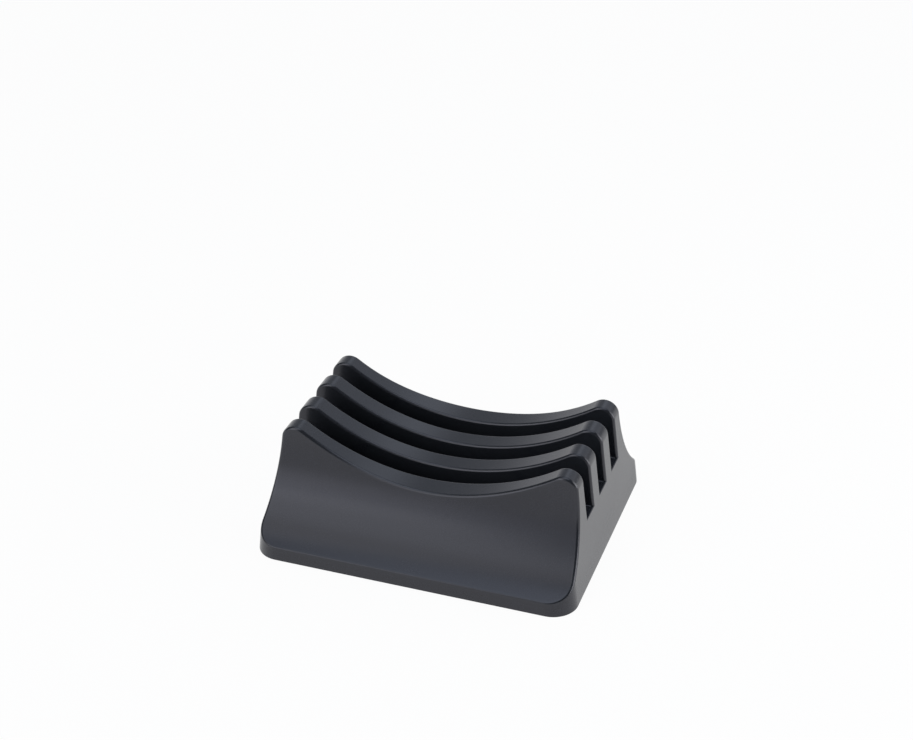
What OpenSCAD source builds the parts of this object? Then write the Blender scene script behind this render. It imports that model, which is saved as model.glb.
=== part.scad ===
/* Pot lid rack: one hollow plastic moulding with a long slot for each of three lids.
   X runs along the slots, Y goes from the front to the back, Z is up.
   The origin is in the middle of the base, at table height. Lengths are in millimetres. */

/* [Body] */
// Width of the base, along the slots
body_width = 204; // [196:1:212]
// Depth of the base, from front to back
body_depth = 166.4; // [162:0.2:172]
// Radius of the base's four corners, seen from above
corner_radius = 15.8; // [12:0.2:18]
// Angle at which both side faces lean in
side_lean = 6.84; // [5:0.02:8]
// Thickness of the moulded wall
wall = 2.5; // [2:0.1:3]

/* [Front and back faces] */
// Distance from the middle to the upper, upright part of each face
top_half_depth = 46.7; // [46:0.1:47.5]
// Radius of the hollow sweep down each face
sweep_radius = 63.2; // [61:0.1:66]
// Height at which the sweep is upright
sweep_height = 66.6; // [65:0.1:68.5]
// Radius of the rounded edge on top of the base lip
lip_edge = 1.6; // [1:0.1:2]

/* [Top] */
// Height of the lowest point of the dip across the top
dip_height = 47.5; // [46:0.1:50]
// Radius of the dip
dip_radius = 142.8; // [138:0.2:150]
// Radius of the rounded shoulder at each end of the dip
shoulder_radius = 9.1; // [8:0.1:10.5]

/* [Slots] */
// Width of each slot
slot_width = 13.9; // [13:0.1:14.4]
// Distance from one slot's centre to the next
slot_pitch = 27.5; // [27.2:0.1:28]
// Height of the slot's sill, where it opens through the side face
sill_height = 39.3; // [37:0.1:41]
// Length of the deep pocket inside each slot
pocket_length = 178; // [170:0.5:180]
// Height of the pocket's floor
pocket_floor = 3.5; // [3.2:0.1:6]
// Radius of the rounded edges along the slots
slot_edge = 1.6; // [1:0.1:2]

/* [Hidden] */
$fn = 96;
half_width = body_width / 2;
half_depth = body_depth / 2;
// How far a side face moves in for each millimetre of height
lean_slope = tan(side_lean);
// Every cutting shape reaches this far past the body
past = 10;
// Cutting shapes start and end at these heights
above = 95;
below = -past;
slot_places = [-slot_pitch, 0, slot_pitch];
// Middle of the circle that forms the dip
dip_middle = dip_height + dip_radius;
// Middle of the shoulder's circle: one radius in from the side face, and touching the dip's circle
side_reach = half_width - shoulder_radius / cos(side_lean);
dip_reach = dip_radius + shoulder_radius;
quad_a = 1 + lean_slope * lean_slope;
quad_b = -2 * (side_reach * lean_slope + dip_middle);
quad_c = side_reach * side_reach + dip_middle * dip_middle - dip_reach * dip_reach;
shoulder_z = (-quad_b - sqrt(quad_b * quad_b - 4 * quad_a * quad_c)) / (2 * quad_a);
shoulder_x = side_reach - lean_slope * shoulder_z;
// Direction from the shoulder's middle to the dip's middle
to_dip = atan2(dip_middle - shoulder_z, -shoulder_x);
// The dip's arc runs from one shoulder to the other
dip_half_angle = to_dip - 90;
// Middle of the circle that forms the sweep
sweep_middle = top_half_depth + sweep_radius;
// Middle of the lip's rounded edge
lip_y = half_depth - lip_edge;
lip_z = sweep_height - sqrt(pow(sweep_radius + lip_edge, 2) - pow(sweep_middle - lip_y, 2));
// Rounded edges and corners meet the faces beside them at a slight angle: their circle's middle
// lies this much further in than their radius
edge_in = 1.2;
corner_in = 1.04;
// How far the shapes that cut rounded edges reach into the air
edge_air = 2;
// The rounded edge is this much wider over the shoulder, and its neighbours run on under it
shoulder_extra = 0.04;
run_on = 0.3;
// Length of the rounded edge down a side face, from the shoulder to below the sill
side_run = (shoulder_z - sill_height) / cos(side_lean) + shoulder_radius;

rack();

module rack() {
    color([0.16, 0.17, 0.19])
    difference() {
        rounded_block();
        hollow();
    }
}

// The body with its slots. Their edges are rounded along the dip first, then over the shoulders,
// then down the side faces.
module rounded_block() {
    difference() {
        difference() {
            difference() {
                difference() {
                    block(0);
                    at_slots() slot();
                }
                at_slots() both_walls() dip_round();
            }
            at_slots() both_walls() both_ends() shoulder_round();
        }
        at_slots() both_walls() both_ends() side_round();
    }
}

module at_slots() {
    for (y = slot_places) {
        translate([0, y, 0]) children();
    }
}

// A slot's back wall, and its mirror image at the front
module both_walls() {
    translate([0, slot_width / 2, 0]) children();
    mirror([0, 1, 0]) translate([0, slot_width / 2, 0]) children();
}

module both_ends() {
    children();
    mirror([1, 0, 0]) children();
}

// The outside of the body without its slots. Set in by t, it is the shape of the inside.
module block(t) {
    difference() {
        intersection() {
            along_x() front_to_back(t);
            along_y() side_to_side(t);
        }
        corner_cut(t);
        mirror([1, 0, 0]) corner_cut(t);
        mirror([0, 1, 0]) corner_cut(t);
        mirror([1, 0, 0]) mirror([0, 1, 0]) corner_cut(t);
    }
}

// Turns a drawing of Y and Z into a bar along X
module along_x() {
    rotate([90, 0, 90]) linear_extrude(height = body_width + 2 * past, center = true) children();
}

// Turns a drawing of X and Z into a bar along Y
module along_y() {
    rotate([90, 0, 0]) linear_extrude(height = body_depth + 2 * past, center = true) children();
}

// Section from front to back: an upright lip at the base, then a hollow sweep up to the top
module front_to_back(t) {
    foot = (t > 0) ? below : 0;
    difference() {
        translate([-half_depth + t, foot]) square([body_depth - 2 * t, above - foot]);
        face_cut(t);
        mirror([1, 0]) face_cut(t);
    }
}

// What is cut away on one face, down to the lip
module face_cut(t) {
    translate([sweep_middle, sweep_height]) circle(r = sweep_radius + t);
    translate([top_half_depth - t, sweep_height]) square([half_depth, above]);
    if (t == 0) lip_cut();
}

// Rounds the edge on top of the lip
module lip_cut() {
    rise = sweep_height - lip_z;
    out = sweep_middle - lip_y;
    difference() {
        polygon([[lip_y, lip_z], [half_depth + past, lip_z], [lip_y + out * 0.5, lip_z + rise * 0.5]]);
        translate([lip_y, lip_z]) circle(r = lip_edge);
    }
}

// Section from side to side: leaning sides, rounded shoulders and the dip between them
module side_to_side(t) {
    foot = (t > 0) ? below : 0;
    inset = t / cos(side_lean);
    base_x = half_width - inset - lean_slope * foot;
    r = shoulder_radius - t;
    touch_x = shoulder_x + r * cos(side_lean);
    touch_z = shoulder_z + r * sin(side_lean);
    rest_x = shoulder_x + r * cos(to_dip);
    rest_z = shoulder_z + r * sin(to_dip);
    difference() {
        union() {
            polygon([[-base_x, foot], [base_x, foot], [touch_x, touch_z], [shoulder_x, shoulder_z],
                [rest_x, rest_z], [-rest_x, rest_z], [-shoulder_x, shoulder_z], [-touch_x, touch_z]]);
            translate([shoulder_x, shoulder_z]) circle(r = r);
            translate([-shoulder_x, shoulder_z]) circle(r = r);
        }
        translate([0, dip_middle]) circle(r = dip_radius + t);
    }
}

// Rounds one upright corner. It leans with the side face.
module corner_cut(t) {
    middle_in = corner_in * corner_radius;
    r = far_corner(middle_in, corner_radius) - t;
    rotate([0, -side_lean, 0])
    linear_extrude(height = 2 * above, center = true)
    translate([half_width * cos(side_lean) - middle_in, half_depth - middle_in])
    difference() {
        square(middle_in + past);
        circle(r = r);
    }
}

// One slot: open through both side faces above the sill, with a deep pocket between them
module slot() {
    translate([-half_width - past, -slot_width / 2, sill_height])
        cube([body_width + 2 * past, slot_width, above]);
    translate([-pocket_length / 2, -slot_width / 2, pocket_floor])
        cube([pocket_length, slot_width, above]);
}

// What is cut off the top edge of a slot's wall along the dip
module dip_round() {
    half_sweep = dip_half_angle + atan(run_on / dip_radius);
    translate([0, 0, dip_middle])
        turn(-90 - half_sweep, 2 * half_sweep)
        edge_cut(dip_radius, 1, slot_edge);
}

// The same over one shoulder
module shoulder_round() {
    translate([shoulder_x, 0, shoulder_z])
        turn(side_lean, to_dip - side_lean)
        edge_cut(shoulder_radius, -1, slot_edge + shoulder_extra);
}

// The same down one side face, as far as the sill
module side_round() {
    intersection() {
        translate([shoulder_x, 0, shoulder_z])
            rotate([0, -side_lean, 0])
            translate([0, 0, -side_run])
            linear_extrude(height = side_run + run_on)
            edge_cut(shoulder_radius, -1, slot_edge);
        translate([0, -past, sill_height]) cube([half_width + past, 2 * past, above]);
    }
}

// Sweeps a drawing of radius and depth about an axis along Y, from one angle on
module turn(start, sweep) {
    rotate([90, 0, 0]) mirror([0, 0, 1]) rotate([0, 0, start]) rotate_extrude(angle = sweep) children();
}

// Drawing of what is taken off an edge: a square less the round of radius r that is left standing.
// The edge is at the given distance, and its solid lies to the side that way points to.
module edge_cut(edge, way, r) {
    middle_in = edge_in * r;
    middle = edge + way * middle_in;
    difference() {
        translate([min(edge - way * edge_air, middle), -edge_air])
            square(middle_in + edge_air);
        translate([middle, middle_in]) circle(r = far_corner(middle_in, r));
    }
}

// Radius of a circle whose middle is middle_in from both faces, and which meets each at r from the edge
function far_corner(middle_in, r) = sqrt(middle_in * middle_in + pow(middle_in - r, 2));

// The hollow inside, open underneath, with the slots' own walls left standing in it
module hollow() {
    difference() {
        block(wall);
        at_slots() slot_walls();
    }
}

module slot_walls() {
    outer = slot_width + 2 * wall;
    translate([-half_width - past, -outer / 2, sill_height - wall])
        cube([body_width + 2 * past, outer, above]);
    translate([-pocket_length / 2 - wall, -outer / 2, pocket_floor - wall])
        cube([pocket_length + 2 * wall, outer, above]);
}
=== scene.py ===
"""Pot lid rack: one hollow moulding of charcoal plastic, with three slots that run from side to side.
The X axis runs along the slots, Y from the front to the back, and Z up from the table."""

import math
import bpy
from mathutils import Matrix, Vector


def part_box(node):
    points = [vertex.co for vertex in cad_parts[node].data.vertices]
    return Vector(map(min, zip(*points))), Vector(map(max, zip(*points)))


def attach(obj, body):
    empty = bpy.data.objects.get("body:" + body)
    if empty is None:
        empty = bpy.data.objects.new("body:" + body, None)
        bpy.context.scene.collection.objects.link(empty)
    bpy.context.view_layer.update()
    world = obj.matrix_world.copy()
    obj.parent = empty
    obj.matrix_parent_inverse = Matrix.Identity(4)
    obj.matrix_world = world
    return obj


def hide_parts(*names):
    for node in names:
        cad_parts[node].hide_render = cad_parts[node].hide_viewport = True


bl_info = {
    "name": "Pot Lid Rack",
    "version": (1, 0, 0),
    "blender": (4, 5, 0),
    "location": "View3D > Sidebar > Lid Rack",
    "description": "Builds a moulded pot lid rack, its grained plastic and a plain stage",
    "category": "Object",
}

import bpy
import numpy as np
from mathutils import Matrix, Vector
from mathutils.geometry import delaunay_2d_cdt

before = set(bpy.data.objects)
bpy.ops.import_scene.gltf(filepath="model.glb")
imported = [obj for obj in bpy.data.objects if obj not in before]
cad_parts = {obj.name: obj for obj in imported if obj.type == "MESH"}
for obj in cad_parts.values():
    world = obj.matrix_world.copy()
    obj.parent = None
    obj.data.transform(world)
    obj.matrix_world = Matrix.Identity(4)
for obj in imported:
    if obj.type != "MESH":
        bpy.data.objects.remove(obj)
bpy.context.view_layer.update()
RACK_LOW, RACK_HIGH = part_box("rack")

MM = 0.001
# Numbers smaller than this count as nothing, and so do angles smaller than the second, in radians
TINY = 1e-9
TINY_ANGLE = 1e-6
# Angle in degrees up to which the inside's faces look smooth where they meet
SMOOTH_ANGLE = 20

# Points along the curves: the lip, the upright corner, the shoulder, the dip, the middle of the front
# face, half of a slot's rounded edge, and the small arcs of a sill
LIP_POINTS = 25
CORNER_POINTS = 22
SHOULDER_POINTS = 22
DIP_POINTS = 44
MIDDLE_POINTS = 26
HALF_EDGE_POINTS = 5
ARC_POINTS = 7
# Steps across the rounded edge of the front face
EDGE_STEPS = 7
# Distance between points, in millimetres: inside the front face, up its side, and down a slot's edge
FACE_SPACING = 2.6
SIDE_SPACING = 1.5
SLOT_SPACING = 2.5
# A sill's hollow corner: points along it, and how fast it grows and fades, as multiples of its length
SILL_POINTS = 17
SILL_GROWTH = 16
SILL_FADING = 5
# Points are joined where they share a step of this fineness, per millimetre: here and in the CAD mesh
WELD_FINENESS = 2000
CAD_WELD_FINENESS = 500

# The photo's camera: width of the picture and focal length in pixels, width of the sensor in
# millimetres, place in metres, and azimuth, elevation and roll in degrees
PHOTO_WIDTH = 913
FOCAL_PIXELS = 1861.2
SENSOR_WIDTH = 36
CAMERA_PLACE = (0.32696, -0.91123, 0.68197)
CAMERA_AZIMUTH = 19.556
CAMERA_ELEVATION = 30.820
CAMERA_ROLL = -0.530

# How far the floor reaches from the middle, and its raised rim, in metres
FLOOR_REACH = 8.0
RIM_REACH = 9.0
RIM_HEIGHT = 0.5
# The soft lights: place, the spot they point at, and width, in metres
SIDE_LIGHT = ((0.85, 0.20, 0.25), (0.05, 0, 0.03), 0.9)
FRONT_LIGHT = ((-0.42, -0.60, 0.70), (-0.05, 0, 0.03), 0.75)
# Heights in the room, as sines of the elevation: where the low glow fades out, and where the low
# colour turns into the high one
GLOW_FADE = (0.10, 0.42)
COLOUR_FADE = (0.2, 0.7)
# Half the width of a soft box's border, as a part of its radius
SOFT_BORDER = 0.3
# The room's soft boxes: azimuth, elevation and radius in degrees, and strength
SOFT_BOXES = (
    (-35, 12, 18, 1.6),
    (-25, 34, 20, 0.6),
    (-150, 30, 28, 0.45),
    (165, 34, 22, 0.75),
    (0, 90, 22, 1.9),
    (100, 8, 20, 1.6),
)
# Where the room is dark behind the camera: azimuth, elevation and radius in degrees
DARK_CORNER = (35, 8, 30)


# Sizes and colours

class RackSizes(bpy.types.PropertyGroup):
    """Sizes of the moulding"""
    width: bpy.props.FloatProperty(
        name="Base width", description="Width of the base, along the slots",
        default=RACK_HIGH.x - RACK_LOW.x, unit="LENGTH")
    depth: bpy.props.FloatProperty(
        name="Base depth", description="Depth of the base, from front to back",
        default=RACK_HIGH.y - RACK_LOW.y, unit="LENGTH")
    side_lean: bpy.props.FloatProperty(
        name="Side lean", description="Angle at which the side faces lean in",
        default=math.radians(6.84), subtype="ANGLE")
    corner_radius: bpy.props.FloatProperty(
        name="Corner radius", description="Radius of the base's upright corners",
        default=15.8 * MM, unit="LENGTH")
    top_half_depth: bpy.props.FloatProperty(
        name="Top half depth", description="From the middle to the upright part of each face",
        default=46.7 * MM, unit="LENGTH")
    sweep_radius: bpy.props.FloatProperty(
        name="Sweep radius", description="Radius of the hollow sweep down the front and back faces",
        default=63.2 * MM, unit="LENGTH")
    sweep_height: bpy.props.FloatProperty(
        name="Sweep height", description="Height at which the sweep is upright",
        default=66.6 * MM, unit="LENGTH")
    dip_height: bpy.props.FloatProperty(
        name="Dip height", description="Height of the lowest point of the top",
        default=47.5 * MM, unit="LENGTH")
    dip_radius: bpy.props.FloatProperty(
        name="Dip radius", description="Radius of the dip across the top",
        default=142.8 * MM, unit="LENGTH")
    shoulder_radius: bpy.props.FloatProperty(
        name="Shoulder radius", description="Radius of the rounded ends of the dip",
        default=9.1 * MM, unit="LENGTH")
    slot_width: bpy.props.FloatProperty(
        name="Slot width", description="Width of each slot", default=13.9 * MM, unit="LENGTH")
    slot_pitch: bpy.props.FloatProperty(
        name="Slot pitch", description="From one slot's centre to the next",
        default=27.5 * MM, unit="LENGTH")
    sill_height: bpy.props.FloatProperty(
        name="Sill height", description="Height of the sill where a slot opens through the side",
        default=39.3 * MM, unit="LENGTH")
    pocket_length: bpy.props.FloatProperty(
        name="Pocket length", description="Length of the deep pocket in each slot",
        default=178 * MM, unit="LENGTH")
    pocket_floor: bpy.props.FloatProperty(
        name="Pocket floor", description="Height of the pocket's floor",
        default=3.5 * MM, unit="LENGTH")
    slot_edge: bpy.props.FloatProperty(
        name="Slot edge", description="Radius of the rounded edges along the slots",
        default=1.6 * MM, unit="LENGTH")
    face_edge: bpy.props.FloatProperty(
        name="Face edge", description="Radius of the edge up the sides and over the top of both faces",
        default=2.0 * MM, unit="LENGTH")
    lip_edge: bpy.props.FloatProperty(
        name="Lip edge", description="Radius of the rounded edge on top of the base lip",
        default=1.0 * MM, unit="LENGTH")
    sill_edge: bpy.props.FloatProperty(
        name="Sill edge", description="Radius of both edges of the sill, at the side face and the pocket",
        default=0.5 * MM, unit="LENGTH")
    sill_corner: bpy.props.FloatProperty(
        name="Sill corner", description="Radius of the hollow corners where the sill meets its walls",
        default=1.3 * MM, unit="LENGTH")


class PlasticLook(bpy.types.PropertyGroup):
    """Colour and surface of the plastic"""
    colour: bpy.props.FloatVectorProperty(
        name="Plastic colour", description="Body colour of the moulded plastic",
        default=(0.0130, 0.0145, 0.0185), size=3, min=0, max=1, subtype="COLOR")
    flow_colour: bpy.props.FloatVectorProperty(
        name="Flow colour", description="Slightly lighter shade where the plastic flowed in the mould",
        default=(0.0155, 0.0170, 0.0215), size=3, min=0, max=1, subtype="COLOR")
    worn_colour: bpy.props.FloatVectorProperty(
        name="Worn edge colour", description="Shade of the edges where the grain is rubbed flat",
        default=(0.024, 0.026, 0.029), size=3, min=0, max=1, subtype="COLOR")
    sheen_colour: bpy.props.FloatVectorProperty(
        name="Sheen colour", description="Faint violet tint of the light that the surface reflects",
        default=(0.93, 0.92, 1.0), size=3, min=0, max=1, subtype="COLOR")
    roughness: bpy.props.FloatProperty(
        name="Roughness", description="Roughness of the satin surface", default=0.26, min=0, max=1,
        subtype="FACTOR")
    grain_size: bpy.props.FloatProperty(
        name="Grain size", description="Spacing of the fine moulded grain",
        default=0.45 * MM, unit="LENGTH")
    grain_depth: bpy.props.FloatProperty(
        name="Grain depth", description="Depth of the fine moulded grain",
        default=0.02 * MM, unit="LENGTH")


class StageLook(bpy.types.PropertyGroup):
    """Floor and lights"""
    floor_colour: bpy.props.FloatVectorProperty(
        name="Floor colour", description="Colour of the plain floor",
        default=(0.9, 0.9, 0.9), size=3, min=0, max=1, subtype="COLOR")
    floor_white: bpy.props.FloatProperty(
        name="Floor white", description="How much of the floor's own white is seen over its shadows",
        default=0.95, min=0, max=1, subtype="FACTOR")
    room_light: bpy.props.FloatProperty(
        name="Room light", description="Strength of the dim light from everywhere", default=0.02, min=0)
    horizon_light: bpy.props.FloatProperty(
        name="Horizon light", description="Strength of the light from low down all round",
        default=0.52, min=0)
    low_colour: bpy.props.FloatVectorProperty(
        name="Low colour", description="Colour of the room's light from low down",
        default=(0.94, 0.95, 1.0), size=3, min=0, max=1, subtype="COLOR")
    high_colour: bpy.props.FloatVectorProperty(
        name="High colour", description="Colour of the room's light from above",
        default=(0.80, 0.88, 1.0), size=3, min=0, max=1, subtype="COLOR")
    side_light: bpy.props.FloatProperty(
        name="Side light", description="Power of the large soft light on the right", default=6.0, min=0,
        subtype="POWER")
    front_light: bpy.props.FloatProperty(
        name="Front light", description="Power of the soft light in front and to the left", default=2.4,
        min=0, subtype="POWER")


# Mesh of the moulding

class Skin:
    """Collects patches of surface, each with its exact normals, and joins them into one mesh."""

    def __init__(self):
        self.points, self.normals, self.faces, self.edge = [], [], [], []
        self.count = 0

    def add(self, points, normals, faces, edge=0.0):
        """Adds a patch, each face turned to the side its normals point to. edge is 1 where it wears."""
        points, normals = np.asarray(points, float), np.asarray(normals, float)
        self.points.append(points)
        self.normals.append(normals)
        self.edge.append(np.full(len(points), edge))
        for face in faces:
            face = [i for k, i in enumerate(face) if i != face[k - 1]]
            if len(face) < 3:
                continue
            p = points[face]
            area = sum(np.cross(p[k] - p[0], p[k + 1] - p[0]) for k in range(1, len(p) - 1))
            if area @ normals[face].sum(0) < 0:
                face = face[::-1]
            self.faces.append([i + self.count for i in face])
        self.count += len(points)

    def strip(self, rows, row_normals, edge=0.0):
        """Quads between neighbouring rows of the same number of points."""
        rows, row_normals = np.asarray(rows, float), np.asarray(row_normals, float)
        n, m = rows.shape[:2]
        faces = [[i * m + j, i * m + j + 1, (i + 1) * m + j + 1, (i + 1) * m + j]
                 for i in range(n - 1) for j in range(m - 1)]
        self.add(rows.reshape(-1, 3), row_normals.reshape(-1, 3), faces, edge)

    def mirror(self, axis):
        """Adds the mirror image of all that is there."""
        flip = np.ones(3)
        flip[axis] = -1
        count = self.count
        self.points += [p * flip for p in list(self.points)]
        self.normals += [n * flip for n in list(self.normals)]
        self.edge += list(self.edge)
        self.faces += [[i + count for i in face[::-1]] for face in list(self.faces)]
        self.count *= 2

    def mesh(self, name):
        """One welded mesh in metres. Each patch keeps its own normals where it meets a sharp edge."""
        points, normals = np.concatenate(self.points), np.concatenate(self.normals)
        edge = np.concatenate(self.edge)
        keys, first, place = np.unique(np.round(points * WELD_FINENESS).astype(np.int64), axis=0,
                                       return_index=True, return_inverse=True)
        place = place.reshape(-1)
        top_edge = np.zeros(len(keys))
        np.maximum.at(top_edge, place, edge)
        faces, corner_normals = [], []
        for face in self.faces:
            # A corner that falls on its neighbour is left out
            ids = [(int(place[i]), i) for i in face]
            ids = [v for k, v in enumerate(ids) if v[0] != ids[k - 1][0]]
            if len(ids) < 3 or len({v[0] for v in ids}) < len(ids):
                continue
            faces.append([v[0] for v in ids])
            corner_normals += [normals[v[1]] for v in ids]
        mesh = bpy.data.meshes.new(name)
        mesh.from_pydata((points[first] * MM).tolist(), [], faces)
        worn = mesh.attributes.new("worn", "FLOAT", "POINT")
        worn.data.foreach_set("value", top_edge.astype(np.float32))
        mesh.polygons.foreach_set("use_smooth", [True] * len(mesh.polygons))
        mesh.update()
        mesh.normals_split_custom_set([tuple(n) for n in corner_normals])
        return mesh


def unit(v):
    """The vector, or each one of several, at length 1."""
    v = np.asarray(v, float)
    return v / np.linalg.norm(v, axis=-1, keepdims=True)


def turn_between(a, b, steps):
    """Unit vectors from a to b along the shortest arc."""
    angle = math.acos(max(-1.0, min(1.0, float(np.dot(a, b)))))
    if angle < TINY_ANGLE:
        return np.array([a] * (steps + 1))
    t = np.linspace(0, 1, steps + 1)[:, None]
    return (np.sin((1 - t) * angle) * a + np.sin(t * angle) * b) / math.sin(angle)


def fill_outline(outlines, spacing=None):
    """Triangles that fill flat outlines given as lists of 2-D points, with inner points at a spacing.
    Inner points keep nearest times the spacing away from the outlines."""
    points, edges = [], []
    edge_points, nearest, weld = 24, 0.45, 1e-6
    for outline in outlines:
        start, n = len(points), len(outline)
        points += [tuple(p) for p in outline]
        edges += [(start + k, start + (k + 1) % n) for k in range(n)]
    if spacing:
        rim = np.array(points)
        low, high = rim.min(0), rim.max(0)
        dense = np.concatenate([rim[[a]] + (rim[[b]] - rim[[a]]) * np.linspace(0, 1, edge_points)[:, None]
                                for a, b in edges])
        for x in np.arange(low[0] + spacing, high[0], spacing):
            for y in np.arange(low[1] + spacing, high[1], spacing):
                if np.min(np.hypot(*(dense - (x, y)).T)) > nearest * spacing:
                    points.append((x, y))
    found = delaunay_2d_cdt([Vector(p) for p in points], edges, [], 1, weld)
    flat = np.array([tuple(p) for p in found[0]])
    faces = []
    for face in found[2]:
        x, y = flat[list(face)].mean(0)
        inside = False
        for outline in outlines:
            for (ax, ay), (bx, by) in zip(outline, outline[1:] + outline[:1]):
                if (ay > y) != (by > y) and x < ax + (bx - ax) * (y - ay) / (by - ay):
                    inside = not inside
        if inside:
            faces.append(list(face))
    return flat, faces


class RackForm:
    """The curves that the rack's faces follow, in millimetres, for the front right quarter."""

    def __init__(self, sizes):
        self.half_width, self.half_depth = sizes.width / MM / 2, sizes.depth / MM / 2
        self.lean, self.corner = sizes.side_lean, sizes.corner_radius / MM
        self.slope = math.tan(self.lean)
        self.sweep, self.sweep_z = sizes.sweep_radius / MM, sizes.sweep_height / MM
        self.sweep_y = sizes.top_half_depth / MM + self.sweep
        self.dip, self.dip_z = sizes.dip_radius / MM, (sizes.dip_height + sizes.dip_radius) / MM
        self.shoulder = sizes.shoulder_radius / MM
        # The shoulder's circle touches the leaning side and the dip's circle
        reach, span = self.half_width - self.shoulder / math.cos(self.lean), self.dip + self.shoulder
        a = 1 + self.slope ** 2
        b = -2 * (reach * self.slope + self.dip_z)
        c = reach ** 2 + self.dip_z ** 2 - span ** 2
        self.shoulder_z = (-b - math.sqrt(b * b - 4 * a * c)) / (2 * a)
        self.shoulder_x = reach - self.slope * self.shoulder_z
        self.to_dip = math.atan2(self.dip_z - self.shoulder_z, -self.shoulder_x)
        self.side_normal = np.array([math.cos(self.lean), 0, math.sin(self.lean)])
        self.up_side = np.array([-math.sin(self.lean), 0, math.cos(self.lean)])
        self.tangent_z = self.shoulder_z + self.shoulder * math.sin(self.lean)
        self.slot_half, self.pitch = sizes.slot_width / MM / 2, sizes.slot_pitch / MM
        self.sill, self.pocket_half = sizes.sill_height / MM, sizes.pocket_length / MM / 2
        self.floor, self.slot_edge = sizes.pocket_floor / MM, sizes.slot_edge / MM
        self.face_edge, self.lip_edge = sizes.face_edge / MM, sizes.lip_edge / MM
        self.sill_edge, self.sill_corner = sizes.sill_edge / MM, sizes.sill_corner / MM

    def side_x(self, z):
        """How far from the middle the side face lies at a height."""
        return self.half_width - self.slope * z

    def side_heights(self, low, high, step):
        """Even heights from low to high, about a step apart."""
        n = max(1, int(round((high - low) / step)))
        return np.linspace(low, high, n + 1)

    def top_line(self):
        """Points and normals over the shoulder and along the dip, from the side face to the middle."""
        points, normals = [], []
        for a in np.linspace(self.lean, self.to_dip, SHOULDER_POINTS):
            n = np.array([math.cos(a), 0, math.sin(a)])
            normals.append(n)
            points.append(np.array([self.shoulder_x, 0, self.shoulder_z]) + self.shoulder * n)
        for a in np.linspace(self.to_dip, math.pi / 2, DIP_POINTS)[1:]:
            n = np.array([math.cos(a), 0, math.sin(a)])
            normals.append(n)
            points.append(np.array([0, 0, self.dip_z]) - self.dip * n)
        return np.array(points), np.array(normals)

    def face_y(self, z, inset):
        """How far from the middle the front face lies at a height, set in by a distance."""
        if z >= self.sweep_z:
            return self.sweep_y - self.sweep - inset
        return self.sweep_y - math.sqrt((self.sweep + inset) ** 2 - (self.sweep_z - z) ** 2)

    def face_z(self, y, inset):
        """The reverse: its height at a distance from the middle."""
        return self.sweep_z - math.sqrt((self.sweep + inset) ** 2 - (self.sweep_y - y) ** 2)

    def face_normal(self, centre):
        """The front face's normal beside a point at the front."""
        if centre[2] >= self.sweep_z:
            return np.array([0, -1.0, 0])
        return unit([0, -(self.sweep_y + centre[1]), self.sweep_z - centre[2]])

    def face_flat(self, point):
        """A point of the front face laid flat: along X, and up the curve of the face."""
        if point[2] >= self.sweep_z:
            return point[0], point[2] - self.sweep_z
        return point[0], -self.sweep * math.atan2(self.sweep_z - point[2], self.sweep_y + point[1])

    def face_round(self, x, u):
        """The reverse, with the face's normal there."""
        if u >= 0:
            return (x, self.sweep - self.sweep_y, self.sweep_z + u), (0, -1, 0)
        a = -u / self.sweep
        y, z = self.sweep * math.cos(a) - self.sweep_y, self.sweep_z - self.sweep * math.sin(a)
        return (x, y, z), (0, -math.cos(a), math.sin(a))

    def corner_point(self, angle, radius):
        """A point on the upright corner at height 0, and its normal."""
        x0 = self.half_width * math.cos(self.lean) - self.corner
        n = np.array([math.cos(angle) * math.cos(self.lean), -math.sin(angle),
                      math.cos(angle) * math.sin(self.lean)])
        start = np.array([x0 * math.cos(self.lean), self.corner - self.half_depth,
                          x0 * math.sin(self.lean)])
        point = start + radius * n
        return self.slide(point, -point[2]), n

    def slide(self, point, rise):
        """The point moved up by a rise, along the lean of the side."""
        return point + self.up_side * rise / self.up_side[2]

    def face_loop(self):
        """Round the front face, from the middle of the lip to the middle of the dip: the middle of the
        ball that rounds the edge, the normal of the wall outside it, that of the face inside it, and
        the ball's radius, which grows round the corner."""
        r, loop = self.lip_edge, []
        lip_z = self.face_z(self.half_depth - r, r)
        corner_x = self.slide(self.corner_point(math.pi / 2, self.corner - r)[0], lip_z)[0]
        for x in np.linspace(0, corner_x, LIP_POINTS)[:-1]:
            loop.append((np.array([x, r - self.half_depth, lip_z]), np.array([0, -1.0, 0]), r))
        for a in np.linspace(math.pi / 2, 0, CORNER_POINTS):
            r = self.lip_edge + (self.face_edge - self.lip_edge) * math.cos(a) ** 2
            point, n = self.corner_point(a, self.corner - r)
            loop.append((self.slide(point, self.face_z(-point[1], r)), n, r))
        low = loop[-1][0][2] + r * math.sin(self.lean)
        for z in self.side_heights(low, self.tangent_z, SIDE_SPACING)[1:]:
            z -= r * math.sin(self.lean)
            x = self.side_x(z) - r / math.cos(self.lean)
            loop.append((np.array([x, -self.face_y(z, r), z]), self.side_normal, r))
        points, normals = self.top_line()
        for p, n in zip(points[1:], normals[1:]):
            c = p - r * n
            c[1] = -self.face_y(c[2], r)
            loop.append((c, n, r))
        return [(c, n, self.face_normal(c), r) for c, n, r in loop]


def lay_face(skin, form, loop):
    """The hollow front face, inside its rounded edge."""
    rim = [c + r * inner for c, _, inner, r in loop]
    flat = [form.face_flat(point) for point in rim]
    low, high = flat[0][1], flat[-1][1]
    middle = [(0.0, u) for u in np.linspace(high, low, MIDDLE_POINTS)[1:-1]]
    laid, faces = fill_outline([flat + middle], FACE_SPACING)
    both = [form.face_round(x, u) for x, u in laid]
    skin.add(rim + [b[0] for b in both[len(rim):]], [b[1] for b in both], faces)


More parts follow.
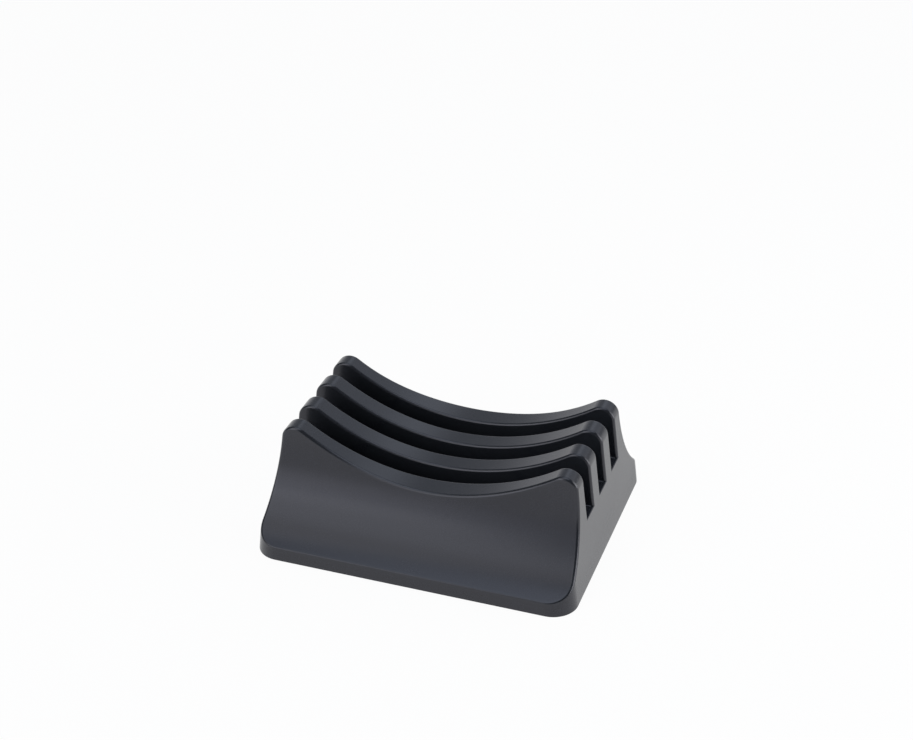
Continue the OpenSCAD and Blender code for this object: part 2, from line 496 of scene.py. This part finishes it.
def lay_face_edge(skin, loop):
    """The rounded edge all round the face."""
    rows, normals = [], []
    for c, outer, inner, r in loop:
        n = turn_between(outer, inner, EDGE_STEPS)
        rows.append(c + r * n)
        normals.append(n)
    skin.strip(rows, normals, edge=1.0)


def lay_base_wall(skin, form, loop):
    """The lip along the base and the upright corner. Gives their outline on the table."""
    rows, normals = [], []
    for c, outer, _, r in loop:
        top = c + r * outer
        if outer[0] < TINY:
            foot = np.array([top[0], top[1], 0])
        else:
            foot = form.slide(top, -top[2])
        rows.append([foot + (top - foot) * t for t in (0, 0.5, 1)])
        normals.append([outer] * 3)
        if abs(outer[1]) < TINY:
            break
    # The lip's flat part ends on an upright line, and the corner starts on a leaning one
    start = next(k for k, (_, outer, _, _) in enumerate(loop) if outer[0] > TINY)
    skin.strip(rows[:start], normals[:start])
    skin.strip(rows[start - 1:], normals[start - 1:])
    return [row[0] for row in rows]


def slot_walls(form):
    """Each slot wall of the quarter: its Y, and which way its solid lies."""
    return [(-form.pitch - form.slot_half, -1), (-form.pitch + form.slot_half, 1), (-form.slot_half, -1)]


def edge_angles(form):
    """Steps of the quarter turn over a slot's rounded edge. One ends as deep as the sill's edge goes."""
    deep = math.acos(1 - form.sill_edge / form.slot_edge)
    return (list(np.linspace(0, deep, HALF_EDGE_POINTS))
            + list(np.linspace(deep, math.pi / 2, HALF_EDGE_POINTS)[1:]))


def sill_corners(form):
    """Where the hollow corner along a sill runs, and its radius there. It grows fast and fades slowly."""
    outer = form.side_x(form.sill) - form.slot_edge / math.cos(form.lean)
    inner = form.pocket_half + form.sill_edge
    steps = np.linspace(0, 1, SILL_POINTS)
    grown = np.minimum(1, np.minimum(SILL_GROWTH * steps, SILL_FADING * (1 - steps)))
    return outer + (inner - outer) * steps, form.sill_corner * (1 - (1 - grown) ** 2)


def lay_sill_corner(skin, form, y, way):
    """The hollow corner between the sill and one wall of a slot."""
    rows, normals = [], []
    for x, r in zip(*sill_corners(form)):
        turn = [(0, -way * math.cos(t), math.sin(t)) for t in np.linspace(0, math.pi / 2, ARC_POINTS)]
        rows.append([(x, y - way * r - r * ny, form.sill + r - r * nz) for _, ny, nz in turn])
        normals.append(turn)
    skin.strip(rows, normals)


def notch_ring(form, y, way):
    """Where the rounded edge of an upright slot wall meets the sill, with its smaller rounded edge."""
    ring, small = [], form.sill_edge
    for a in edge_angles(form):
        side, back = form.slot_edge * (1 - math.sin(a)), form.slot_edge * (1 - math.cos(a))
        rest = max(0.0, 1 - back / small)
        z = form.sill - small * (1 - math.sqrt(1 - rest * rest))
        ring.append([form.side_x(z) - back / math.cos(form.lean), y + way * side, z])
    return np.array(ring)


def lay_slot_edges(skin, form):
    """The rounded edges down the side, over the shoulder and along the dip. Gives their points."""
    top, top_n = form.top_line()
    r, angles = form.slot_edge, edge_angles(form)
    side_z = form.side_heights(form.sill, form.tangent_z, SLOT_SPACING)[1:-1]
    line = [np.array([form.side_x(z), 0, z]) for z in side_z] + list(top)
    line_n = [form.side_normal] * len(side_z) + list(top_n)
    edges = {}
    for y, way in slot_walls(form):
        rows, normals = [notch_ring(form, y, way)], []
        for p, n in zip(line[:1] + line, line_n[:1] + line_n):
            turn = np.array([n * math.cos(a) + np.array([0, -way * math.sin(a), 0]) for a in angles])
            normals.append(turn)
            if len(normals) > 1:
                rows.append(p - r * n + np.array([0, y + way * r, 0]) + r * turn)
        skin.strip(rows, normals, edge=1.0)
        edges[y] = np.array(rows)
    return edges


def lay_sills(skin, form):
    """Each sill: its rounded outer edge, its flat top, and the hollow corners along the walls."""
    turn = []
    for a in edge_angles(form)[:HALF_EDGE_POINTS]:
        rest = 1 - form.slot_edge * (1 - math.cos(a)) / form.sill_edge
        turn.append(unit(form.side_normal * rest + np.array([0, 0, 1.0]) * math.sqrt(1 - rest ** 2)))
    rings = [notch_ring(form, y, way) for y, way in slot_walls(form)]
    middle = rings[2].copy()
    middle[:, 1] = 0
    for one, two in ((rings[0], rings[1]), (rings[2], middle)):
        skin.strip([one[:HALF_EDGE_POINTS], two[:HALF_EDGE_POINTS]], [turn, turn], edge=1.0)
        lay_sill_top(skin, form, one[HALF_EDGE_POINTS - 1:], two[HALF_EDGE_POINTS - 1:])
    for y, way in slot_walls(form):
        lay_sill_corner(skin, form, y, way)


def lay_sill_top(skin, form, one, two):
    """The sill's flat top, from its rounded outer edge to where it turns down into the pocket."""
    run, radii = sill_corners(form)
    outline = [(p[0], p[1]) for p in one] + [(x, one[-1][1] + r) for x, r in zip(run[1:], radii[1:])]
    if two[0][1] == two[-1][1]:
        outline += [(run[-1], two[0][1]), (two[0][0], two[0][1])]
    else:
        outline += [(x, two[-1][1] - r) for x, r in zip(run[1:], radii[1:])][::-1]
        outline += [(p[0], p[1]) for p in two][::-1]
    flat, faces = fill_outline([outline])
    skin.add([(x, y, form.sill) for x, y in flat], [(0, 0, 1)] * len(flat), faces)


def lay_top(skin, form, loop, edges):
    """The top of the rack between the slots, and in front of the first one."""
    top, top_n = form.top_line()
    count = len(top)
    outer = [c + r * n for c, n, _, r in loop[-count:]]
    (front, _), (behind, _), (middle, _) = slot_walls(form)
    rows = [[o, edges[front][k - count][0]] for k, o in enumerate(outer)]
    skin.strip(rows, [[n, n] for n in top_n])
    rows = [[edges[behind][k - count][0], edges[middle][k - count][0]] for k in range(count)]
    skin.strip(rows, [[n, n] for n in top_n])


def lay_side(skin, form, loop, edges):
    """The leaning side face, with a notch for each slot."""
    count = len(form.top_line()[0])
    start = max(k for k, (_, outer, _, _) in enumerate(loop) if outer[1] < -TINY) + 1
    crease = [c + r * n for c, n, _, r in loop[start:len(loop) - count + 1]]
    corner_y, corner_z = crease[0][1:]
    outline = [(corner_y, 0.0), (corner_y, corner_z / 2)] + [(p[1], p[2]) for p in crease]
    for y, way in slot_walls(form):
        side = [(row[0][1], row[0][2]) for row in edges[y][:len(edges[y]) - count + 1]]
        outline += side[::-1] if way < 0 else side
    outline += [(0.0, outline[-1][1]), (0.0, 0.0)]
    flat, faces = fill_outline([outline])
    skin.add([(form.side_x(z), y, z) for y, z in flat], [form.side_normal] * len(flat), faces)


def lay_slots(skin, form, edges):
    """Walls of each slot, and its pocket's edge, end and floor."""
    r = form.sill_edge
    arc = np.linspace(math.pi / 2, math.pi, ARC_POINTS)
    drop = [(form.pocket_half + r + r * math.cos(a), form.sill - r + r * math.sin(a)) for a in arc]
    drop_n = [(math.cos(a), 0, math.sin(a)) for a in arc]
    for y, way in slot_walls(form):
        outline = [(row[-1][0], row[-1][2]) for row in edges[y]]
        outline += [(0.0, form.floor), (form.pocket_half, form.floor)] + drop[::-1]
        outline += [(x, form.sill + r) for x, r in zip(*sill_corners(form))][1:-1][::-1]
        flat, faces = fill_outline([outline])
        skin.add([(x, y, z) for x, z in flat], [(0, -way, 0)] * len(flat), faces)
    foot = (form.pocket_half, form.floor)
    # The rounded edge down into the pocket, the pocket's end and its floor, each with its wear
    patches = (
        (drop, drop_n, 1.0),
        ([drop[-1], foot], [(-1, 0, 0)] * 2, 0.0),
        ([foot, (0, form.floor)], [(0, 0, 1)] * 2, 0.0),
    )
    for low, high in ((-form.pitch - form.slot_half, -form.pitch + form.slot_half), (-form.slot_half, 0)):
        for line, line_n, edge in patches:
            skin.strip([[(x, low, z), (x, high, z)] for x, z in line], [[n, n] for n in line_n], edge)


def hollow_inside(source):
    """The CAD moulding's inner surface, and its outline on the table, in millimetres."""
    mesh, on_table = source.data, 0.01
    co = np.array([v.co for v in mesh.vertices]) / MM
    keys, place = np.unique(np.round(co * CAD_WELD_FINENESS).astype(np.int64), axis=0,
                            return_inverse=True)
    place = place.reshape(-1)
    spots = np.zeros((len(keys), 3))
    spots[place] = co
    faces = [[int(place[i]) for i in p.vertices] for p in mesh.polygons]
    faces = [f for f in faces if len(set(f)) == len(f) and not all(spots[i][2] < on_table for i in f)]
    # Faces that hang together form one surface. Without the foot, these are the outside and the inside
    parent = list(range(len(keys)))

    def root(i):
        while parent[i] != i:
            parent[i] = parent[parent[i]]
            i = parent[i]
        return i

    for f in faces:
        for i in f[1:]:
            parent[root(i)] = root(f[0])
    groups = {}
    for f in faces:
        groups.setdefault(root(f[0]), []).append(f)
    if len(groups) < 2:
        raise RuntimeError("the rack's inner and outer surfaces are not apart above the rim")
    # The inside is the narrower one, and its open edge is the outline on the table
    inner = min(groups.values(), key=lambda fs: np.ptp(spots[[i for f in fs for i in f]], axis=0)[0])
    sides = [(a, b) for f in inner for a, b in zip(f, f[1:] + f[:1])]
    seen = set(sides)
    rim = {b: a for a, b in sides if (b, a) not in seen}
    first = next(iter(rim))
    outline, at = [first], rim[first]
    while at != first:
        outline.append(at)
        at = rim[at]
    return spots, inner, [spots[i] for i in outline]


def corner_normals(spots, faces, limit):
    """Normals for each face's corners, smooth across edges flatter than the limit."""
    normals = []
    for f in faces:
        p = spots[f]
        normals.append(unit(np.cross(p[1] - p[0], p[2] - p[0])))
    around = {}
    for k, f in enumerate(faces):
        for i in f:
            around.setdefault(i, []).append(k)
    result = []
    for k, f in enumerate(faces):
        row = []
        for i in f:
            near = [normals[j] for j in around[i] if normals[j] @ normals[k] > math.cos(limit)]
            row.append(unit(np.sum(near, axis=0)))
        result.append(row)
    return result


def lay_inside(skin, spots, inner):
    """The inside of the moulding, as the CAD solid has it."""
    points = [spots[i] for f in inner for i in f]
    normals = [n for row in corner_normals(spots, inner, math.radians(SMOOTH_ANGLE)) for n in row]
    faces, at = [], 0
    for f in inner:
        faces.append(list(range(at, at + len(f))))
        at += len(f)
    skin.add(points, normals, faces)


def lay_foot(skin, form, foot, rim):
    """The flat ring that stands on the table, from the outside's outline to the inside's."""
    quarter = [(p[0], p[1]) for p in foot]
    back = [(x, -y) for x, y in quarter[::-1]]
    right = quarter + [(form.half_width, 0.0)] + back
    outline = right + [(-x, y) for x, y in right[::-1][1:-1]]
    flat, faces = fill_outline([outline, [(p[0], p[1]) for p in rim]])
    skin.add([(x, y, 0) for x, y in flat], [(0, 0, -1)] * len(flat), faces)


def build_moulding(sizes):
    """The moulding's mesh: its outside laid patch by patch, round the CAD moulding's own inside."""
    form, skin = RackForm(sizes), Skin()
    loop = form.face_loop()
    lay_face(skin, form, loop)
    lay_face_edge(skin, loop)
    foot = lay_base_wall(skin, form, loop)
    edges = lay_slot_edges(skin, form)
    lay_sills(skin, form)
    lay_top(skin, form, loop, edges)
    lay_side(skin, form, loop, edges)
    lay_slots(skin, form, edges)
    skin.mirror(1)
    skin.mirror(0)
    spots, inner, rim = hollow_inside(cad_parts["rack"])
    lay_inside(skin, spots, inner)
    lay_foot(skin, form, foot, rim)
    return skin.mesh("rack_moulding")


# Materials

class Sock:
    """One output of a material's node, on which Python's operators add Math nodes."""

    def __init__(self, nodes, socket):
        self.nodes, self.socket = nodes, socket

    def _math(self, operation, *values):
        return self.nodes.add("ShaderNodeMath", {"operation": operation}, dict(enumerate(values)))

    def __add__(self, other):
        return self._math("ADD", self, other)

    def __sub__(self, other):
        return self._math("SUBTRACT", self, other)

    def __rsub__(self, other):
        return self._math("SUBTRACT", other, self)

    def __mul__(self, other):
        return self._math("MULTIPLY", self, other)

    __radd__ = __add__
    __rmul__ = __mul__


class Nodes:
    """Adds nodes to one material or world."""

    def __init__(self, owner):
        owner.use_nodes = True
        self.tree = owner.node_tree
        self.tree.nodes.clear()

    def add(self, kind, settings=None, inputs=None, output=0):
        """Adds a node, and gives one of its outputs, or several where a tuple names them."""
        node = self.tree.nodes.new(kind)
        for name, value in (settings or {}).items():
            setattr(node, name, value)
        for name, value in (inputs or {}).items():
            self.feed(node.inputs[name], value)
        if isinstance(output, tuple):
            return [Sock(self, node.outputs[name]) for name in output]
        return Sock(self, node.outputs[output]) if len(node.outputs) else None

    def feed(self, socket, value):
        """Links another node's output to a socket, or sets a number or colour on it."""
        if isinstance(value, Sock):
            self.tree.links.new(value.socket, socket)
        elif hasattr(value, "__len__") and socket.type == "RGBA" and len(value) == 3:
            socket.default_value = (*value, 1)
        else:
            socket.default_value = value

    def blend(self, factor, a, b):
        """Mixes two colours by a mask. The Mix node's colour sockets are 6 and 7, and output 2."""
        return self.add("ShaderNodeMix", {"data_type": "RGBA"}, {0: factor, 6: a, 7: b}, output=2)


def grained_plastic(look):
    """Satin charcoal plastic with a fine moulded grain, faint flow marks and rubbed edges."""
    material = bpy.data.materials.new("charcoal_plastic")
    nodes = Nodes(material)
    place = nodes.add("ShaderNodeTexCoord", output="Object")
    grain_scale, flow_scale, speck_scale = 1 / look.grain_size, 22.0, 900.0
    # How much each pattern changes the colour, the roughness and the height
    flow_tint, speck_tint, worn_tint = 0.6, 0.3, 0.35
    grain_rough, flow_rough, worn_gloss = 0.10, 0.06, 0.05
    grain_rise, pore_rise = 0.7, 0.5
    grain = nodes.add("ShaderNodeTexNoise", {"noise_dimensions": "3D"},
                      {"Vector": place, "Scale": grain_scale, "Detail": 2.0, "Roughness": 0.55})
    pores = nodes.add("ShaderNodeTexVoronoi", {"feature": "SMOOTH_F1"},
                      {"Vector": place, "Scale": grain_scale * 0.8, "Smoothness": 0.6})
    flow = nodes.add("ShaderNodeTexNoise", {"noise_dimensions": "3D"},
                     {"Vector": place, "Scale": flow_scale, "Detail": 3.0, "Roughness": 0.5,
                      "Distortion": 0.6})
    specks = nodes.add("ShaderNodeTexNoise", {"noise_dimensions": "3D"},
                       {"Vector": place, "Scale": speck_scale, "Detail": 1.0})
    worn = nodes.add("ShaderNodeAttribute", {"attribute_name": "worn"}, output="Fac")
    rubbed = nodes.add("ShaderNodeMapRange", {"clamp": True},
                       {"Value": worn * (0.5 + flow), "From Min": 0.35, "From Max": 1.1})
    flow_mask = nodes.add("ShaderNodeMapRange", {"clamp": True},
                          {"Value": flow, "From Min": 0.35, "From Max": 0.65})
    body = nodes.blend(flow_mask * flow_tint + specks * speck_tint,
                       tuple(look.colour), tuple(look.flow_colour))
    colour = nodes.blend(rubbed * worn_tint, body, tuple(look.worn_colour))
    rough = (look.roughness + (grain - 0.5) * grain_rough + (flow - 0.5) * flow_rough
             - rubbed * worn_gloss)
    height = grain * grain_rise + pores * pore_rise * (1 - rubbed * 0.5)
    bump = nodes.add("ShaderNodeBump", {},
                     {"Strength": 0.35, "Distance": look.grain_depth, "Height": height}, output="Normal")
    shader = nodes.add("ShaderNodeBsdfPrincipled", {}, {
        "Base Color": colour, "Roughness": rough, "Normal": bump, "IOR": 1.5,
        "Specular Tint": (*look.sheen_colour, 1)})
    nodes.add("ShaderNodeOutputMaterial", {}, {"Surface": shader})
    return material


def seen_directly(nodes):
    """1 where the camera sees it, straight, in a reflection or through glass."""
    camera, glossy, through = nodes.add(
        "ShaderNodeLightPath", output=("Is Camera Ray", "Is Glossy Ray", "Is Transmission Ray"))
    return nodes.add("ShaderNodeMath", {"operation": "MINIMUM"}, {0: camera + glossy + through, 1: 1.0})


def floor_material(look):
    """Plain white floor that keeps the rack's shadow."""
    material = bpy.data.materials.new("floor_paper")
    nodes = Nodes(material)
    paper = nodes.add("ShaderNodeBsdfDiffuse", {}, {"Color": tuple(look.floor_colour)})
    white = nodes.add("ShaderNodeEmission", {}, {"Color": (1.0, 1.0, 1.0), "Strength": 1.0})
    shader = nodes.add("ShaderNodeMixShader", {}, {
        0: seen_directly(nodes) * look.floor_white, 1: paper, 2: white})
    nodes.add("ShaderNodeOutputMaterial", {}, {"Surface": shader})
    return material


def towards(azimuth, elevation):
    """Direction from the rack. Azimuth is in degrees from the front, positive to the right."""
    azimuth, elevation = math.radians(azimuth), math.radians(elevation)
    return Vector((math.sin(azimuth) * math.cos(elevation), -math.cos(azimuth) * math.cos(elevation),
                   math.sin(elevation)))


def soft_box(nodes, direction, azimuth, elevation, radius):
    """1 in a round patch of the room's light, with a soft border. The radius is in degrees."""
    near = nodes.add("ShaderNodeVectorMath", {"operation": "DOT_PRODUCT"},
                     {0: direction, 1: towards(azimuth, elevation)}, output="Value")
    return nodes.add("ShaderNodeMapRange", {"clamp": True, "interpolation_type": "SMOOTHSTEP"}, {
        "Value": near, "From Min": math.cos(math.radians(radius * (1 + SOFT_BORDER))),
        "From Max": math.cos(math.radians(radius * (1 - SOFT_BORDER)))})


def studio_room(look):
    """Dim room with a pale glow low down all round, and soft boxes at their directions."""
    world = bpy.data.worlds.new("room")
    nodes = Nodes(world)
    direction = nodes.add("ShaderNodeTexCoord", output="Generated")
    up = nodes.add("ShaderNodeSeparateXYZ", {}, {0: direction}, output="Z")
    glow = nodes.add("ShaderNodeMapRange", {"clamp": True, "interpolation_type": "SMOOTHSTEP"}, {
        "Value": up, "From Min": GLOW_FADE[0], "From Max": GLOW_FADE[1], "To Min": 1.0, "To Max": 0.0})
    glow = glow * (1 - soft_box(nodes, direction, *DARK_CORNER))
    strength = look.room_light + glow * look.horizon_light
    for azimuth, elevation, radius, level in SOFT_BOXES:
        strength = strength + soft_box(nodes, direction, azimuth, elevation, radius) * level
    height = nodes.add("ShaderNodeMapRange", {"clamp": True}, {
        "Value": up, "From Min": COLOUR_FADE[0], "From Max": COLOUR_FADE[1]})
    colour = nodes.blend(height, tuple(look.low_colour), tuple(look.high_colour))
    shader = nodes.add("ShaderNodeBackground", {}, {"Color": colour, "Strength": strength})
    nodes.add("ShaderNodeOutputWorld", {}, {"Surface": shader})
    return world


# Floor, lights and camera

def floor_mesh():
    """A flat square with a raised rim, so that low views don't look past its edge."""
    corners = ((-1, -1), (1, -1), (1, 1), (-1, 1))
    rings = ((FLOOR_REACH, 0.0), (RIM_REACH, RIM_HEIGHT))
    points = [(x * reach, y * reach, z) for reach, z in rings for x, y in corners]
    rim = [(k, (k + 1) % 4, (k + 1) % 4 + 4, k + 4) for k in range(4)]
    mesh = bpy.data.meshes.new("floor")
    mesh.from_pydata(points, [], [(0, 1, 2, 3)] + rim)
    return mesh


def soft_light(name, place, target, size, power):
    """A square soft light at a place, turned to its target."""
    lamp = bpy.data.lights.new(name, "AREA")
    lamp.shape, lamp.size, lamp.energy = "SQUARE", size, power
    holder = bpy.data.objects.new(name, lamp)
    bpy.context.scene.collection.objects.link(holder)
    holder.location = place
    holder.rotation_euler = (Vector(target) - Vector(place)).to_track_quat("-Z", "Y").to_euler()


def photo_camera():
    """The camera, where the photo's own camera stood."""
    eye = bpy.data.cameras.new("camera")
    eye.sensor_fit, eye.sensor_width = "HORIZONTAL", SENSOR_WIDTH
    eye.lens = FOCAL_PIXELS * SENSOR_WIDTH / PHOTO_WIDTH
    eye.clip_start, eye.clip_end = 0.05, 100
    holder = bpy.data.objects.new("camera", eye)
    bpy.context.scene.collection.objects.link(holder)
    back, roll = towards(CAMERA_AZIMUTH, CAMERA_ELEVATION), math.radians(CAMERA_ROLL)
    level = (-back).cross(Vector((0, 0, 1))).normalized()
    upright = level.cross(-back)
    right = math.cos(roll) * level + math.sin(roll) * upright
    up = math.cos(roll) * upright - math.sin(roll) * level
    turn = Matrix((right, up, back)).transposed().to_4x4()
    holder.matrix_world = Matrix.Translation(Vector(CAMERA_PLACE)) @ turn
    return holder


# Operators

class RACK_OT_moulding(bpy.types.Operator):
    """Builds the one-piece moulding, with its slots and rounded edges, in grained charcoal plastic"""
    bl_idname = "lid_rack.moulding"
    bl_label = "Moulding"

    def execute(self, context):
        mesh = build_moulding(context.scene.rack_sizes)
        piece = bpy.data.objects.new("rack_moulding", mesh)
        context.scene.collection.objects.link(piece)
        mesh.materials.append(grained_plastic(context.scene.plastic_look))
        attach(piece, "root")
        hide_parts("rack")
        return {"FINISHED"}


class RACK_OT_stage(bpy.types.Operator):
    """Adds the plain floor, the soft lights and the camera"""
    bl_idname = "lid_rack.stage"
    bl_label = "Stage"

    def execute(self, context):
        scene, look = context.scene, context.scene.stage_look
        floor = bpy.data.objects.new("floor", floor_mesh())
        scene.collection.objects.link(floor)
        floor.data.materials.append(floor_material(look))

        scene.world = studio_room(look)
        soft_light("side_light", *SIDE_LIGHT, look.side_light)
        soft_light("front_light", *FRONT_LIGHT, look.front_light)
        scene.camera = photo_camera()
        scene.view_settings.view_transform = "Standard"
        return {"FINISHED"}


class RACK_PT_panel(bpy.types.Panel):
    """Lists the sizes, the look and the operators"""
    bl_label = "Lid Rack"
    bl_idname = "RACK_PT_panel"
    bl_space_type = "VIEW_3D"
    bl_region_type = "UI"
    bl_category = "Lid Rack"

    def draw(self, context):
        for owner, action in ((context.scene.rack_sizes, "lid_rack.moulding"),
                              (context.scene.plastic_look, None),
                              (context.scene.stage_look, "lid_rack.stage")):
            column = self.layout.column()
            for name in owner.__annotations__:
                column.prop(owner, name)
            if action:
                column.operator(action)


CLASSES = (RackSizes, PlasticLook, StageLook, RACK_OT_moulding, RACK_OT_stage, RACK_PT_panel)


def register():
    """Adds the classes, and the three groups of settings to the scene."""
    for cls in CLASSES:
        bpy.utils.register_class(cls)
    bpy.types.Scene.rack_sizes = bpy.props.PointerProperty(type=RackSizes)
    bpy.types.Scene.plastic_look = bpy.props.PointerProperty(type=PlasticLook)
    bpy.types.Scene.stage_look = bpy.props.PointerProperty(type=StageLook)


def unregister():
    """Takes them out again."""
    del bpy.types.Scene.stage_look
    del bpy.types.Scene.plastic_look
    del bpy.types.Scene.rack_sizes
    for cls in reversed(CLASSES):
        bpy.utils.unregister_class(cls)


def main():
    """Builds the rack and the stage."""
    register()
    bpy.ops.lid_rack.moulding()
    bpy.ops.lid_rack.stage()


if __name__ == "__main__":
    main()
